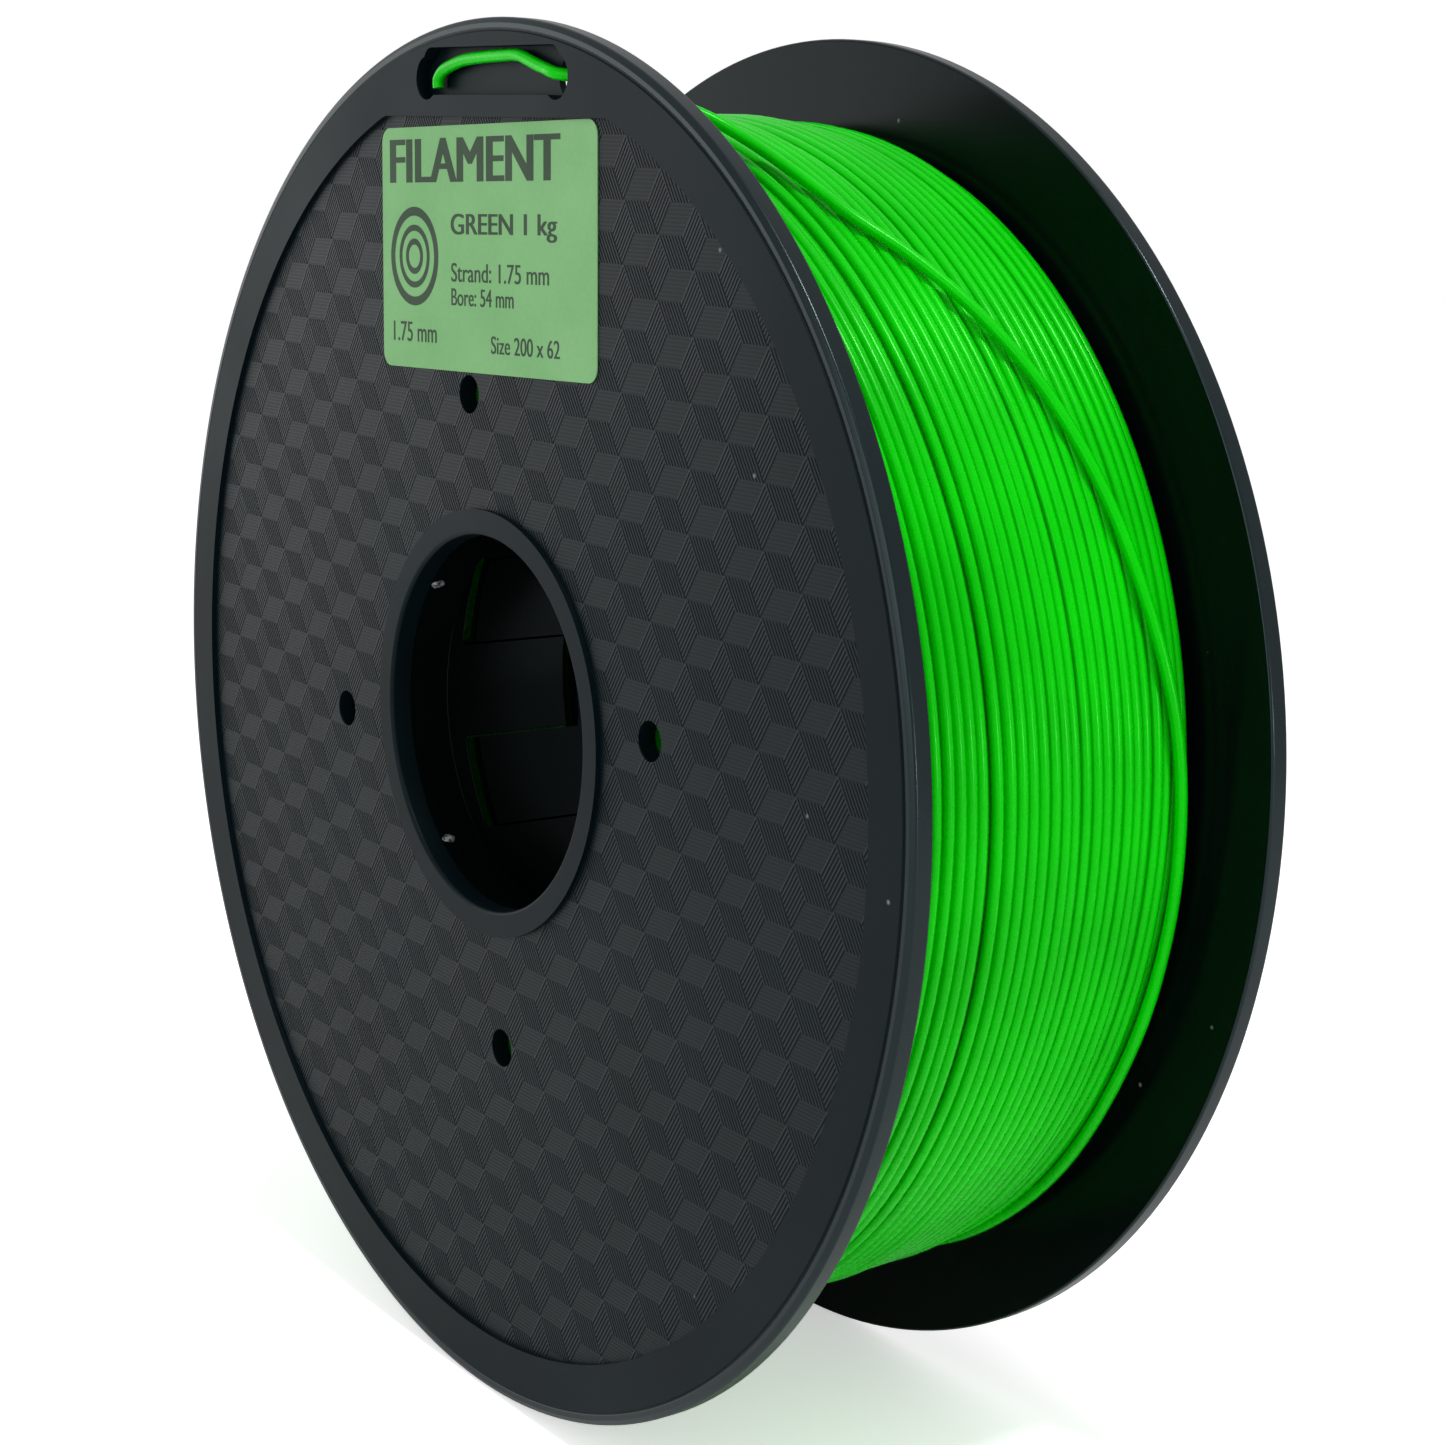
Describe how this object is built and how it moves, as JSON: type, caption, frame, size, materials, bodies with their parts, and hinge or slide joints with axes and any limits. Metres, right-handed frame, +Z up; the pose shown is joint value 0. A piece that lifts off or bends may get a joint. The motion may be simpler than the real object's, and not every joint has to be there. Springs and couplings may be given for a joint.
{
  "type": "filament spool",
  "caption": "Loaded spool of 3D-printer filament: black two-part moulded spool with a hollow hub, green filament wound between its flanges, and a paper label.",
  "frame": {"origin": "on the spool's axis, midway between the two flange faces", "axes": "+Y along the spool's axis from the labelled front face to the rear face, +Z up through the middle of the slot that holds the filament's end, +X to the right when facing the labelled face"},
  "size_m": [0.2, 0.0622, 0.2],
  "materials": {
    "black_plastic": "charcoal-black moulded plastic, satin, with a hatched cube pattern on the flange faces",
    "green_filament": "bright green extruded plastic strand, glossy",
    "label_paper": null
  },
  "bodies": {
    "root": {"front_flange": "black_plastic", "front_bore_lip": "black_plastic", "front_drum": "black_plastic", "rear_flange": "black_plastic", "rear_bore_lip": "black_plastic", "rear_drum": "black_plastic", "filament_winding": "green_filament", "filament_end": "green_filament", "label": "label_paper"}
  },
  "joints": []
}
